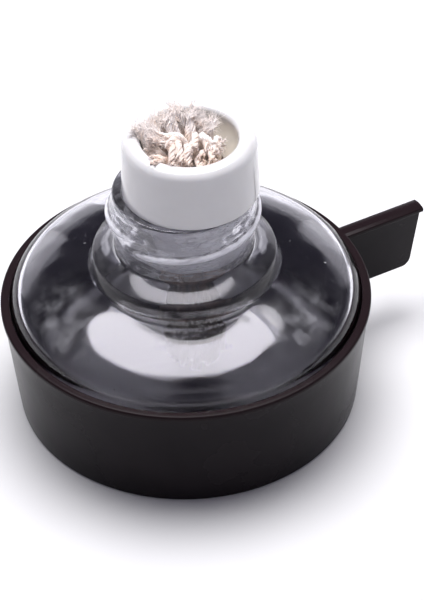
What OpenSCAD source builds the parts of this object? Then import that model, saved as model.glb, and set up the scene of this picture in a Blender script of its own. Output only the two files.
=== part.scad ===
// Alcohol burner for the laboratory bench, in millimetres.
// A glass reservoir stands loose in a moulded cup with a tab handle. A porcelain holder
// rests on the reservoir's mouth and carries a wick of loose cotton strands.
// The origin is the centre of the cup's foot, and +Z points up along the neck.

/* [Cup] */
// Outside diameter of the cup at its rim
rim_d = 80; // [70:1:100]
// Height of the cup from the bench to the rim
cup_h = 26.4; // [22:0.2:34]
// How far the foot lies inside the rim, on the radius
foot_inset = 2.5; // [1:0.1:3.6]
// Thickness of the cup's wall
cup_wall = 1.7; // [1.2:0.1:2.4]
// Thickness of the cup's floor
cup_floor = 2.6; // [1.8:0.1:4]
// Height of the raised band round the rim
lip_h = 1.2; // [0.8:0.1:2]
// How far that band stands out from the wall
lip_proud = 0.3; // [0.1:0.05:0.6]
// Rounding of the rim's two edges
rim_edge_r = 0.5; // [0.2:0.05:0.7]
// Rounding of the foot's outer edge
foot_edge_r = 0.6; // [0.3:0.1:1.5]
// Fillet between the cup's wall and floor, inside
cup_fillet_r = 2; // [1:0.1:3]

/* [Handle] */
// Direction of the handle, turned from +X towards +Y
handle_angle = 27.5; // [0:0.5:90]
// Length of the handle beyond the rim
handle_reach = 20; // [12:0.2:30]
// Width of the handle's top flange
flange_w = 3.8; // [3.4:0.1:6]
// Thickness of the flange at its middle
flange_t = 1.3; // [1.1:0.1:2.4]
// How much lower the flange's edges lie than its middle
flange_crown = 0.4; // [0.2:0.05:0.7]
// Thickness of the upright web below the flange
web_t = 2.3; // [1.4:0.1:2.5]
// Height of the web below the flange
web_h = 14.7; // [9:0.1:18]
// How far the web's upper corner stays back from the flange's end
web_setback = 0.4; // [0.2:0.1:3]
// Lean of the web's end face, in degrees
web_lean = 9; // [0:1:20]
// Rounding of the web's lower corner
web_corner_r = 2.2; // [1:0.1:5]
// Fillet between the web and the flange
web_fillet_r = 0.4; // [0.2:0.05:0.4]

/* [Reservoir] */
// Gap round the glass inside the cup
glass_gap = 0.3; // [0.3:0.05:1]
// Thickness of the glass wall
glass_wall = 2.2; // [1.6:0.1:3]
// Thickness of the glass floor
glass_floor = 3; // [2:0.1:4.5]
// Rise of the floor towards the middle
floor_rise = 1; // [0.4:0.1:2]
// Width of the flat ring that the glass stands on
base_ring_w = 6; // [3:0.2:10]
// Outer rounding between the glass wall and floor
heel_r = 4; // [2.5:0.1:6]
// Inner rounding between the glass wall and floor
inner_heel_r = 5; // [3:0.1:8]
// Rounding of the shoulder
shoulder_r = 5; // [3.5:0.1:7]
// How far the centre of that rounding lies below the rim
shoulder_drop = 0.2; // [0:0.1:2]
// Slope where the dome runs into that rounding, in degrees
shoulder_slope = 31; // [24:0.5:40]
// Slope of the dome at the bead, in degrees
dome_slope = 6; // [2:0.5:14]
// Outside diameter of the bead where the neck meets the dome
bead_d = 41.3; // [36:0.1:46]
// Height of that bead above the dome
bead_h = 5.1; // [3.5:0.1:7]
// Outside diameter of the neck
neck_d = 29.6; // [26:0.1:33]
// Thickness of the neck's wall
neck_wall = 2.4; // [1.8:0.1:3]
// Height of the neck above the bead
neck_h = 13.7; // [10:0.1:20]
// Straight part of the neck just above the bead
neck_root_h = 2.4; // [1:0.1:4]
// How far the neck swells out above that part
neck_swell = 1.1; // [0:0.05:1.6]
// How far above the bead the neck's bore starts to flare
flare_rise = 1; // [0.4:0.1:2]
// How far the flare leads out from the bore to the dome's inside
flare_reach = 9; // [7:0.1:11]
// Rounding of the mouth's two edges
mouth_edge_r = 0.6; // [0.3:0.05:0.8]

/* [Wick holder] */
// Radial play of the holder's plug in the neck
plug_play = 2.2; // [0.6:0.1:2.8]
// Gap left on the side towards which the loose holder has slipped
plug_side_gap = 0.5; // [0.3:0.05:0.6]
// Length of the plug below the collar
plug_h = 14; // [8:0.2:16]
// Chamfer at the plug's lower edges
plug_chamfer = 0.8; // [0.3:0.1:1.2]
// How far the collar stays inside the neck's outside, on the radius
collar_inset = 0.35; // [0.2:0.05:1]
// Height of the collar above the mouth
collar_h = 13.6; // [10:0.2:18]
// How much the collar narrows to its top, on the radius
collar_taper = 0.4; // [0:0.05:1]
// Rounding of the collar's upper outer edge
collar_top_r = 2.3; // [1:0.1:2.6]
// Rounding of the collar's lower outer edge
collar_low_r = 0.5; // [0.2:0.05:0.8]
// Wall between the bowl and the collar's outside, below the lip's rounding
bowl_wall = 4; // [3.6:0.1:4.4]
// Rounding of the bowl's inner lip
bowl_lip_r = 1.2; // [0.6:0.1:1.4]
// Depth of the bowl below that rounding
bowl_depth = 6; // [4:0.2:9]

/* [Wick] */
// Thickness of one cotton strand
strand_d = 2.6; // [2:0.05:2.8]
// Gap between neighbouring strands
strand_gap = 0.12; // [0.05:0.01:0.2]
// Rings of strands round the middle one
strand_rings = 2; // [1:1:2]
// Gap between the strands and the holder's bore
wick_play = 0.35; // [0.25:0.05:0.6]
// Height of the tuft's middle above the collar
tuft_h = 2.6; // [1:0.1:5]
// How much lower the tuft's outer strands end
tuft_fall = 1.6; // [0:0.1:2.5]
// How far the tuft leans to -X at the collar
tuft_lean = 1.4; // [0:0.1:1.6]
// Outward slope of the outer strands above the lip
tuft_flare = 0.3; // [0:0.05:0.8]
// Gap between the wick's lower end and the glass floor
tail_gap = 1.2; // [0.6:0.1:4]
// Most that one strand's ends differ from the next
strand_vary = 0.9; // [0:0.1:1.2]

/* [Hidden] */
arc_steps = 8;
strand_sides = 8;
splay_steps = 6;
tip_share = 0.6;
golden_turn = 137.5;

strand_count = 1 + 3 * strand_rings * (strand_rings + 1);

// Cup radii
rim_r = rim_d / 2;
foot_r = rim_r - foot_inset;
wall_top_r = rim_r - lip_proud;
draft = atan((wall_top_r - foot_r) / cup_h);
function wall_r(z) = foot_r + (wall_top_r - foot_r) * z / cup_h;
function cup_inner_r(z) = wall_r(z) - cup_wall;
function wall_middle_r(z) = wall_r(z) - cup_wall / 2;

// Reservoir levels and radii
function glass_r(z) = cup_inner_r(z) - glass_gap;
function glass_inner_r(z) = glass_r(z) - glass_wall / cos(draft);
glass_base_z = cup_floor;
heel_z = glass_base_z + heel_r;
heel_c = [glass_r(heel_z) - heel_r / cos(draft), heel_z];
base_ring_r = heel_c[0] - base_ring_w;
floor_z = glass_base_z + glass_floor;
inner_heel_z = floor_z + inner_heel_r;
inner_heel_c = [glass_inner_r(inner_heel_z) - inner_heel_r / cos(draft), inner_heel_z];
shoulder_z = cup_h - shoulder_drop;
shoulder_c = [glass_r(shoulder_z) - shoulder_r / cos(draft), shoulder_z];
bead_r = bead_d / 2;
neck_r = neck_d / 2;
neck_bore_r = neck_r - neck_wall;
// The dome is one arc, level with the shoulder's rounding where they meet
function downhill(slope) = [sin(slope), cos(slope)];
dome_r = (shoulder_c[0] + shoulder_r * sin(shoulder_slope) - bead_r) / (sin(shoulder_slope) - sin(dome_slope));
dome_c = shoulder_c + (shoulder_r - dome_r) * downhill(shoulder_slope);
crease_z = dome_c[1] + dome_r * cos(dome_slope);
bead_top_z = crease_z + bead_h;
mouth_z = bead_top_z + neck_h;
// Radius of the neck's outside at share u of the way from its root to the mouth's rounding
function neck_out_r(u) = neck_r + neck_swell * (1 - cos(360 * u)) / 2;
function neck_out_z(u) =
    bead_top_z + neck_root_h + (neck_h - neck_root_h - mouth_edge_r) * u;
// Inside, the bore flares out to the dome in one curve, so the bead is thick
inner_dome_r = dome_r - glass_wall;
flare_slope = asin((neck_bore_r + flare_reach - dome_c[0]) / inner_dome_r);
flare_top = [neck_bore_r, bead_top_z + flare_rise];
flare_end = dome_c + inner_dome_r * downhill(flare_slope);
flare_pull = (flare_top[1] - flare_end[1]) * 0.45;

// Strand layout: hexagonal rings, so that neighbours keep the same gap
strand_r = strand_d / 2;
strand_pitch = strand_d + strand_gap;
function ring_of(i) = i <= 1 ? 0 : ceil((sqrt(12 * i - 3) - 3) / 6);
function first_in(ring) = 2 + 3 * ring * (ring - 1);
function hex_corner(ring, side) = ring * strand_pitch * [cos(60 * side), sin(60 * side)];
function strand_place(i) =
    let (
        ring = ring_of(i),
        step = i - first_in(ring),
        side = ring == 0 ? 0 : floor(step / ring),
        along = ring == 0 ? 0 : (step - side * ring) / ring
    )
    ring == 0
        ? [0, 0]
        : hex_corner(ring, side) * (1 - along) + hex_corner(ring, side + 1) * along;
bundle_r = strand_rings * strand_pitch + strand_r;

// Holder levels and radii
holder_shift = plug_play - plug_side_gap;
plug_r = neck_bore_r - plug_play;
plug_z = mouth_z - plug_h;
bore_r = bundle_r + wick_play;
collar_r = neck_r - collar_inset;
collar_top = collar_r - collar_taper;
collar_z = mouth_z + collar_h;
bowl_r = collar_top - bowl_wall;
lip_z = collar_z - bowl_lip_r;
bowl_z = lip_z - bowl_depth;
function bowl_reach(u) = sin(90 * u);

// Strand paths: straight in the bore, then spreading with the bowl and over its lip
tail_z = floor_z + floor_rise + tail_gap;
spread_gain = max(0, (bowl_r - tuft_lean - wick_play) / bundle_r - 1);
function smooth(u) = u * u * (3 - 2 * u);
function bowl_share(z) = smooth(min(1, max(0, (z - bowl_z) / bowl_depth)));
// The strands swell as they spread, so that the tuft fills the bowl
function swell(z) = 1 + spread_gain * bowl_share(z);
function vary(i) = strand_vary * sin(golden_turn * i);
function strand_tip_z(i) =
    collar_z + tuft_h - tuft_fall * pow(ring_of(i) / strand_rings, 2) + vary(i);
function strand_tail_z(i) = tail_z + strand_vary + vary(i + strand_count);
function strand_at(i, z) =
    let (
        home = strand_place(i),
        above = max(0, z - lip_z),
        out = home / (strand_rings * strand_pitch)
    )
    [holder_shift, 0]
        + home * swell(z)
        + out * tuft_flare * above
        - [tuft_lean * bowl_share(z), 0];

function arc(c, r, from, to, steps = arc_steps) =
    [for (k = [0 : steps]) let (a = from + (to - from) * k / steps) c + r * [cos(a), sin(a)]];
function ellipse_arc(c, rx, rz, from, to, steps = arc_steps) =
    [for (k = [0 : steps])
        let (a = from + (to - from) * k / steps)
        [c[0] + rx * cos(a), c[1] + rz * sin(a)]];

function curve(a, b, c, d, steps = arc_steps) =
    [for (k = [0 : steps])
        let (u = k / steps, v = 1 - u)
        v * v * v * a + 3 * v * v * u * b + 3 * v * u * u * c + u * u * u * d];
function between_ends(list) = [for (k = [1 : len(list) - 2]) list[k]];

// Half section of the cup, from the middle of the foot round to the floor inside
function cup_section() =
    let (
        lip_z = cup_h - lip_h,
        inner_r = cup_inner_r(cup_h),
        fillet_z = cup_floor + cup_fillet_r
    )
    concat(
        [[0, 0]],
        arc([foot_r - foot_edge_r, foot_edge_r], foot_edge_r, -90, -draft),
        [[wall_r(lip_z - lip_proud), lip_z - lip_proud], [rim_r, lip_z]],
        arc([rim_r - rim_edge_r, cup_h - rim_edge_r], rim_edge_r, 0, 90),
        arc([inner_r + rim_edge_r, cup_h - rim_edge_r], rim_edge_r, 90, 180),
        arc([cup_inner_r(fillet_z) - cup_fillet_r, fillet_z], cup_fillet_r, 0, -90),
        [[0, cup_floor]]
    );

// Cross section of the handle: a crowned flange on an upright web
module handle_section() {
    half_w = flange_w / 2;
    crown_r = (half_w * half_w + flange_crown * flange_crown) / (2 * flange_crown);
    crown_turn = asin(half_w / crown_r);
    under_z = cup_h - flange_t;
    half_t = web_t / 2;
    polygon(concat(
        arc([0, cup_h - crown_r], crown_r, 90 - crown_turn, 90 + crown_turn),
        [[-half_w, under_z]],
        arc([-half_t - web_fillet_r, under_z - web_fillet_r], web_fillet_r, 90, 0),
        [[-half_t, under_z - web_h], [half_t, under_z - web_h]],
        arc([half_t + web_fillet_r, under_z - web_fillet_r], web_fillet_r, 180, 90),
        [[half_w, under_z]]
    ));
}

// Side view of the handle, from the middle of the cup's wall outwards
module handle_side() {
    tip_r = rim_r + handle_reach;
    under_z = cup_h - flange_t;
    low_z = under_z - web_h;
    web_top_r = tip_r - web_setback;
    corner_c = [
        web_top_r - (web_h - web_corner_r) * tan(web_lean) - web_corner_r / cos(web_lean),
        low_z + web_corner_r
    ];
    polygon(concat(
        [[wall_middle_r(low_z), low_z]],
        arc(corner_c, web_corner_r, -90, -web_lean),
        [[web_top_r, under_z], [tip_r, under_z], [tip_r, cup_h], [wall_middle_r(cup_h), cup_h]]
    ));
}

module handle() {
    tip_r = rim_r + handle_reach;
    rotate(handle_angle)
        intersection() {
            rotate([90, 0, 90]) linear_extrude(tip_r) handle_section();
            rotate([90, 0, 0]) linear_extrude(flange_w, center = true) handle_side();
        }
}

module base_cup() {
    color("#2a1c19") {
        rotate_extrude() polygon(cup_section());
        handle();
    }
}

// The floor of the glass bulges up towards the middle, as seen from below
function floor_curve(z, to_centre) =
    [for (k = [0 : arc_steps])
        let (u = to_centre ? 1 - k / arc_steps : k / arc_steps)
        [base_ring_r * u, z + floor_rise * (1 + cos(180 * u)) / 2]];

// Half section of the glass, up the outside and down the inside
function reservoir_section() =
    concat(
        floor_curve(glass_base_z, false),
        arc(heel_c, heel_r, -90, -draft),
        arc(shoulder_c, shoulder_r, -draft, 90 - shoulder_slope),
        between_ends(arc(dome_c, dome_r, 90 - shoulder_slope, 90 - dome_slope)),
        ellipse_arc([neck_r, crease_z], bead_r - neck_r, bead_h, 0, 90),
        [for (k = [0 : arc_steps - 1]) [neck_out_r(k / arc_steps), neck_out_z(k / arc_steps)]],
        arc([neck_r - mouth_edge_r, mouth_z - mouth_edge_r], mouth_edge_r, 0, 90),
        arc([neck_bore_r + mouth_edge_r, mouth_z - mouth_edge_r], mouth_edge_r, 90, 180),
        curve(
            flare_top,
            flare_top - [0, flare_pull],
            flare_end + flare_pull * [-cos(flare_slope), sin(flare_slope)],
            flare_end
        ),
        between_ends(arc(dome_c, inner_dome_r, 90 - flare_slope, 90 - shoulder_slope)),
        arc(shoulder_c, shoulder_r - glass_wall, 90 - shoulder_slope, -draft),
        arc(inner_heel_c, inner_heel_r, -draft, -90),
        floor_curve(floor_z, true)
    );

module reservoir() {
    color([0.82, 0.87, 0.89, 0.35])
        rotate_extrude() polygon(reservoir_section());
}

// Half section of the holder, round the plug, up the collar and down the bowl
function holder_section() =
    concat(
        [[bore_r + plug_chamfer, plug_z], [plug_r - plug_chamfer, plug_z], [plug_r, plug_z + plug_chamfer]],
        [[plug_r, mouth_z]],
        arc([collar_r - collar_low_r, mouth_z + collar_low_r], collar_low_r, -90, 0),
        arc([collar_top - collar_top_r, collar_z - collar_top_r], collar_top_r, 0, 90),
        arc([bowl_r + bowl_lip_r, lip_z], bowl_lip_r, 90, 180),
        [for (k = [1 : arc_steps])
            let (u = 1 - k / arc_steps)
            [bore_r + (bowl_r - bore_r) * bowl_reach(u), bowl_z + bowl_depth * u]],
        [[bore_r, plug_z + plug_chamfer]]
    );

module wick_holder() {
    color("#f4f3f1")
        translate([holder_shift, 0, 0])
            rotate_extrude() polygon(holder_section());
}

// Levels of a strand's rings: its two ends, the bore and the spreading top
function strand_levels(i) =
    let (tip = strand_tip_z(i))
    concat(
        [strand_tail_z(i), bowl_z],
        [for (k = [1 : splay_steps]) bowl_z + bowl_depth * k / splay_steps],
        [(lip_z + tip) / 2, tip - strand_r * tip_share, tip]
    );

module wick_strand(i) {
    levels = strand_levels(i);
    last = len(levels) - 1;
    function ring_r(k) = strand_r * swell(levels[k]) * (k == last ? tip_share : 1);
    points = [for (k = [0 : last]) for (s = [0 : strand_sides - 1])
        let (
            place = strand_at(i, levels[k]),
            turn = 360 * (s + 0.5) / strand_sides
        )
        [place[0] + ring_r(k) * cos(turn), place[1] + ring_r(k) * sin(turn), levels[k]]];
    function at(k, s) = k * strand_sides + s % strand_sides;
    sides = [for (k = [0 : last - 1]) for (s = [0 : strand_sides - 1]) each [
        [at(k, s), at(k + 1, s), at(k + 1, s + 1)],
        [at(k, s), at(k + 1, s + 1), at(k, s + 1)]
    ]];
    ends = [for (s = [1 : strand_sides - 2]) each [
        [at(0, 0), at(0, s), at(0, s + 1)],
        [at(last, 0), at(last, s + 1), at(last, s)]
    ]];
    color("#e9ddc6")
        polyhedron(points, concat(sides, ends));
}

base_cup();
reservoir();
wick_holder();
for (i = [1 : strand_count])
    wick_strand(i);
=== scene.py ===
import math
import random

import bpy
from mathutils import Matrix, Vector, noise


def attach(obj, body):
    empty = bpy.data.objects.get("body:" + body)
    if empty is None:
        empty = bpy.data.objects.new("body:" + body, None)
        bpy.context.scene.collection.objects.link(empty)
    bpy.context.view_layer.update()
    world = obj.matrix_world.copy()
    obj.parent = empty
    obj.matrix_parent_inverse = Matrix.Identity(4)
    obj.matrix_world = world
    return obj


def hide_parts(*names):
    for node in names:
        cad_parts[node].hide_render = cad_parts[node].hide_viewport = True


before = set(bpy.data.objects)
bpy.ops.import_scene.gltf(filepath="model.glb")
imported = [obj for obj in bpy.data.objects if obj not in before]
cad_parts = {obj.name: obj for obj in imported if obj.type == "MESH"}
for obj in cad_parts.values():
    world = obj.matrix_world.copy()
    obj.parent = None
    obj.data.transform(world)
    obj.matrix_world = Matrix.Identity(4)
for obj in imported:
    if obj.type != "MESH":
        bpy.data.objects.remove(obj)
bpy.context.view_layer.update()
mm = 0.001  # settings are in millimetres and degrees where no other unit is named

cameraSettings = {
    "aim": (0.0, 0.0, 20.0),
    "distance": 479.56,
    "elevation": 40.99,
    "pan": 0.674,
    "tilt": 0.295,
    "roll": 1.883,
    "lens": 132.13,
    "sensorHeight": 36.0,
    "clip": (0.01, 20.0),  # metres
}


def addCamera(settings):
    bpy.ops.object.select_all(action="DESELECT")
    bpy.ops.object.camera_add()
    camera = bpy.context.object
    camera.name = "productCamera"
    camera.data.sensor_fit = "VERTICAL"
    camera.data.sensor_height = settings["sensorHeight"]
    camera.data.lens = settings["lens"]
    camera.data.clip_start, camera.data.clip_end = settings["clip"]
    elevation = math.radians(settings["elevation"])
    back = Vector((0.0, -math.cos(elevation), math.sin(elevation)))
    place = (Vector(settings["aim"]) + back * settings["distance"]) * mm
    turn = (
        Matrix.Rotation(math.pi / 2 - elevation, 4, "X")
        @ Matrix.Rotation(-math.radians(settings["pan"]), 4, "Y")
        @ Matrix.Rotation(math.radians(settings["tilt"]), 4, "X")
        @ Matrix.Rotation(-math.radians(settings["roll"]), 4, "Z")
    )
    camera.matrix_world = Matrix.Translation(place) @ turn
    bpy.context.scene.camera = camera
    print("camera placed")


addCamera(cameraSettings)

lightSettings = {
    "worldColour": (0.098, 0.092, 0.132),
    "floorSize": 2.4,  # metres
    "colours": {"dish": (0.99, 0.98, 1.0), "panel": (0.97, 0.96, 1.0), "far": (0.95, 0.94, 1.0)},
    # name, shape, centre, point it faces, width and height, all in metres, then radiance and colour
    "boxes": [
        ("overheadDish", "ELLIPSE", (-0.03, 0.28, 0.95), (-0.03, 0.28, 0.0), (0.95, 0.85), 8.7, "dish"),
        ("backPanel", "RECTANGLE", (0.0, 1.15, 0.15), (0.0, 0.0, 0.10), (2.2, 0.30), 0.75, "panel"),
        ("leftPanel", "RECTANGLE", (-0.95, 0.40, 0.19), (0.0, 0.0, 0.10), (0.9, 0.38), 0.13, "panel"),
        ("rightPanel", "RECTANGLE", (0.95, 0.40, 0.13), (0.0, 0.0, 0.08), (0.9, 0.26), 0.35, "panel"),
        ("frontPanel", "RECTANGLE", (0.0, -1.10, 0.45), (0.0, 0.0, 0.05), (1.8, 0.90), 0.12, "panel"),
        ("frontFill", "RECTANGLE", (0.0, -0.60, 0.95), (0.0, 0.0, 0.03), (0.90, 0.55), 0.45, "panel"),
        ("farLeftPanel", "RECTANGLE", (-0.60, 0.90, 0.27), (0.0, 0.0, 0.04), (0.46, 0.36), 1.2, "far"),
        ("farRightPanel", "RECTANGLE", (0.58, 0.90, 0.27), (0.0, 0.0, 0.04), (0.46, 0.36), 1.2, "far"),
    ],
}


def addSoftbox(name, shape, centre, target, size, radiance, colour):
    bpy.ops.object.light_add(type="AREA", location=centre)
    light = bpy.context.object
    light.name = name
    light.data.shape = shape
    light.data.size, light.data.size_y = size
    area = size[0] * size[1] * (math.pi / 4 if shape == "ELLIPSE" else 1.0)
    light.data.energy = radiance * math.pi * area
    light.data.color = colour
    facing = Vector(target) - Vector(centre)
    light.rotation_euler = facing.to_track_quat("-Z", "Y").to_euler()


def addStudio(settings):
    scene = bpy.context.scene
    scene.view_settings.view_transform = "Standard"
    world = bpy.data.worlds.new("studioWorld")
    world.use_nodes = True
    world.node_tree.nodes["Background"].inputs["Color"].default_value = (*settings["worldColour"], 1.0)
    scene.world = world
    bpy.ops.object.select_all(action="DESELECT")
    for *box, colour in settings["boxes"]:
        addSoftbox(*box, settings["colours"][colour])
    bpy.ops.mesh.primitive_plane_add(size=settings["floorSize"])
    floor = bpy.context.object
    floor.name = "studioFloor"
    print("studio lit with", len(settings["boxes"]), "softboxes")
    return floor


studioFloor = addStudio(lightSettings)


# Materials

def newMaterial(name):
    material = bpy.data.materials.new(name)
    material.use_nodes = True
    return material, material.node_tree, material.node_tree.nodes["Principled BSDF"]


def setInputs(tree, node, values):
    # A pattern is linked, and a constant is set on the socket itself
    for name, value in values.items():
        socket = node.inputs[name]
        if isinstance(value, bpy.types.NodeSocket):
            tree.links.new(value, socket)
        else:
            socket.default_value = (*value, 1.0) if socket.type == "RGBA" else value


def addNode(tree, kind, values):
    node = tree.nodes.new("ShaderNode" + kind)
    setInputs(tree, node, values)
    return node


def objectPlace(tree):
    return addNode(tree, "TexCoord", {}).outputs["Object"]


def objectPattern(tree, scale, detail, roughness=0.5, stretch=(1.0, 1.0, 1.0)):
    place = addNode(tree, "Mapping", {"Vector": objectPlace(tree), "Scale": stretch}).outputs["Vector"]
    settings = {"Vector": place, "Scale": scale, "Detail": detail, "Roughness": roughness}
    return addNode(tree, "TexNoise", settings).outputs["Fac"]


def meshShare(tree, name):
    # A share that the mesh carries at each of its points
    share = addNode(tree, "Attribute", {})
    share.attribute_name = name
    return share.outputs["Fac"]


def colourRamp(tree, value, stops):
    ramp = addNode(tree, "ValToRGB", {"Fac": value})
    while len(ramp.color_ramp.elements) < len(stops):
        ramp.color_ramp.elements.new(0.5)
    for element, (position, colour) in zip(ramp.color_ramp.elements, stops):
        element.position = position
        element.color = (*colour, 1.0)
    return ramp.outputs["Color"]


def valueRange(tree, value, low, high, fromLow=0.3, fromHigh=0.7):
    ends = {"From Min": fromLow, "From Max": fromHigh, "To Min": low, "To Max": high}
    return addNode(tree, "MapRange", {"Value": value, **ends}).outputs["Result"]


def axisShare(tree, axis, low, high):
    # Goes from 0 to 1 between two places on an axis
    axes = addNode(tree, "SeparateXYZ", {"Vector": objectPlace(tree)})
    return valueRange(tree, axes.outputs[axis], 0.0, 1.0, low * mm, high * mm)


def mixColours(tree, factor, first, second, blend="MIX"):
    mix = addNode(tree, "Mix", {})
    mix.data_type = "RGBA"
    mix.blend_type = blend
    setInputs(tree, mix, {"Factor": factor, "A": first, "B": second})
    return mix.outputs["Result"]


def combineValues(tree, operation, first, second):
    node = addNode(tree, "Math", {0: first, 1: second})
    node.operation = operation
    return node.outputs["Value"]


def addBump(tree, value, depth, strength, below=None):
    lower = {} if below is None else {"Normal": below}
    settings = {"Height": value, "Distance": depth * mm, "Strength": strength, **lower}
    return addNode(tree, "Bump", settings).outputs["Normal"]


# In each look, a pattern is its scale per metre and detail, then its roughness and stretch, a bump is
# its depth and strength, a range is its low and high end, and shader is set as it is on the shader

floorLook = {
    "grain": (14.0, 4.0),
    "tints": [(0.3, (0.70, 0.70, 0.705)), (0.7, (0.74, 0.74, 0.74))],
    "shader": {"Roughness": 0.75},
}


def makeFloorMaterial(look):
    material, tree, shader = newMaterial("paleFloor")
    grain = objectPattern(tree, *look["grain"])
    setInputs(tree, shader, {"Base Color": colourRamp(tree, grain, look["tints"]), **look["shader"]})
    return material


phenolicLook = {
    "clouds": (70.0, 5.0), "flecks": (900.0, 2.0), "swirl": (45.0, 2.0),
    "browns": [(0.35, (0.0080, 0.0060, 0.0076)), (0.65, (0.0118, 0.0088, 0.0108))],
    # the lighter brown of the rim and the flange is a painted highlight on the top of the cup
    "rimHighlightBrown": (0.0135, 0.0080, 0.0095), "rimHighlightHeight": (24.5, 25.8),
    "roughness": (0.20, 0.30), "swirlBump": (0.25, 0.5), "fleckBump": (0.03, 0.5),
    "shader": {"IOR": 1.52, "Specular IOR Level": 0.07},
}


def makePhenolic(look):
    material, tree, shader = newMaterial("phenolicMoulding")
    clouds = objectPattern(tree, *look["clouds"])
    flecks = objectPattern(tree, *look["flecks"])
    swirl = objectPattern(tree, *look["swirl"])
    brown = colourRamp(tree, clouds, look["browns"])
    # Painted highlight: the rim and the flange at the top of the cup are painted a lighter brown than the
    # walls
    rimHighlight = axisShare(tree, "Z", *look["rimHighlightHeight"])
    soft = addBump(tree, swirl, *look["swirlBump"])
    setInputs(tree, shader, {
        "Base Color": mixColours(tree, rimHighlight, brown, look["rimHighlightBrown"]),
        "Roughness": valueRange(tree, clouds, *look["roughness"]),
        "Normal": addBump(tree, flecks, *look["fleckBump"], soft),
        **look["shader"],
    })
    return material


glassLook = {
    "wave": (60.0, 2.0, 0.4, (1.0, 1.0, 0.45)), "waveBump": (0.4, 0.3),
    "grit": (2600.0, 2.0), "gritBump": (0.3, 0.8),
    "smear": (130.0, 4.0), "smearRough": (0.04, 0.11), "smearHaze": (0.6, 1.4),
    # these two ranges also have the low and high end of their pattern
    "glint": (1400.0, 1.0, 0.5, (0.35, 0.35, 1.4)), "glintHaze": (0.65, 1.35, 0.36, 0.64),
    "lint": (1500.0, 0.0), "lintHaze": (0.0, 0.3, 0.83, 0.88),
    # this dark colour is painted shade, tinting the glass's floor and a ring along the bead's edge
    "clearColour": (0.935, 0.935, 0.985), "paintedShadeColour": (0.004, 0.0035, 0.0042),
    "shader": {"Specular Tint": (0.97, 0.945, 1.0), "IOR": 1.5},
}


def makeGlass(look):
    material, tree, shader = newMaterial("clearGlass")
    wave, grit, smear, glint, lint = (
        objectPattern(tree, *look[name]) for name in ("wave", "grit", "smear", "glint", "lint"))
    roughShare, hazeShare, paintedShadeShare = (
        meshShare(tree, name) for name in ("roughShare", "hazeShare", "paintedShadeShare"))
    smearRough = valueRange(tree, smear, *look["smearRough"])
    # Haze is patchy, glints and has lint on it, and the glass is clear where there is none
    haze = hazeShare
    for pattern, name, operation in (
            (smear, "smearHaze", "MULTIPLY"), (glint, "glintHaze", "MULTIPLY"), (lint, "lintHaze", "ADD")):
        haze = combineValues(tree, operation, haze, valueRange(tree, pattern, *look[name]))
    gritty = combineValues(tree, "MULTIPLY", roughShare, grit)
    soft = addBump(tree, wave, *look["waveBump"])
    # the base colour carries painted shade on the glass's floor and along the bead's edge
    setInputs(tree, shader, {
        "Base Color": mixColours(tree, paintedShadeShare, look["clearColour"], look["paintedShadeColour"]),
        "Roughness": combineValues(tree, "ADD", roughShare, smearRough),
        "Transmission Weight": combineValues(tree, "SUBTRACT", 1.0, haze),
        "Normal": addBump(tree, gritty, *look["gritBump"], soft),
        **look["shader"],
    })
    return material


porcelainLook = {
    "clouds": (120.0, 4.0), "ripple": (90.0, 2.0, 0.4),
    "whites": [(0.3, (0.700, 0.694, 0.697)), (0.7, (0.742, 0.736, 0.742))],
    "stainColour": (0.67, 0.635, 0.565),
    "roughness": (0.10, 0.17), "rippleBump": (0.3, 0.3),
    "shader": {
        "Coat Weight": 0.5, "Coat Roughness": 0.06,
        "Subsurface Weight": 0.12, "Subsurface Radius": (1.0, 0.8, 0.6), "Subsurface Scale": 0.0012,
    },
}


def makePorcelain(look):
    material, tree, shader = newMaterial("whitePorcelain")
    clouds = objectPattern(tree, *look["clouds"])
    ripple = objectPattern(tree, *look["ripple"])
    white = colourRamp(tree, clouds, look["whites"])
    setInputs(tree, shader, {
        "Base Color": mixColours(tree, meshShare(tree, "bowlStain"), white, look["stainColour"]),
        "Roughness": valueRange(tree, clouds, *look["roughness"]),
        "Normal": addBump(tree, ripple, *look["rippleBump"]),
        **look["shader"],
    })
    return material


cottonLook = {
    # the cream at the top is the cotton's own colour; lower down it is painted darker as shade, deep in the
    # bowl and on the tail inside the glass
    "shadedToneHeight": (0.0, 80.0),
    "shadedTones": [
        (0.26, (0.10, 0.076, 0.056)), (0.41, (0.48, 0.38, 0.30)), (0.72, (0.56, 0.42, 0.32)),
        (0.76, (0.86, 0.67, 0.56)), (0.80, (0.98, 0.86, 0.785)), (0.84, (1.0, 0.93, 0.895)),
    ],
    "clouds": (380.0, 3.0),
    "shades": [(0.32, (0.93, 0.86, 0.79)), (0.48, (1.0, 1.0, 1.0))],
    # painted shade on the yarn at the front of the tuft
    "frontShadeDepth": (-9.0, 1.0),
    "frontShades": [(0.0, (0.86, 0.755, 0.69)), (1.0, (1.0, 1.0, 1.0))],
    # this range also has the low and high end of its pattern
    "husks": (950.0, 0.0), "huskShare": (0.0, 1.0, 0.82, 0.85), "huskColour": (0.06, 0.035, 0.02),
    "fibre": (4200.0, 2.0), "fibreBump": (0.04, 0.5),
    "shader": {
        "Roughness": 0.9, "Sheen Weight": 0.3,
        "Subsurface Weight": 0.3, "Subsurface Radius": (1.0, 0.85, 0.72), "Subsurface Scale": 0.0006,
    },
}


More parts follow.
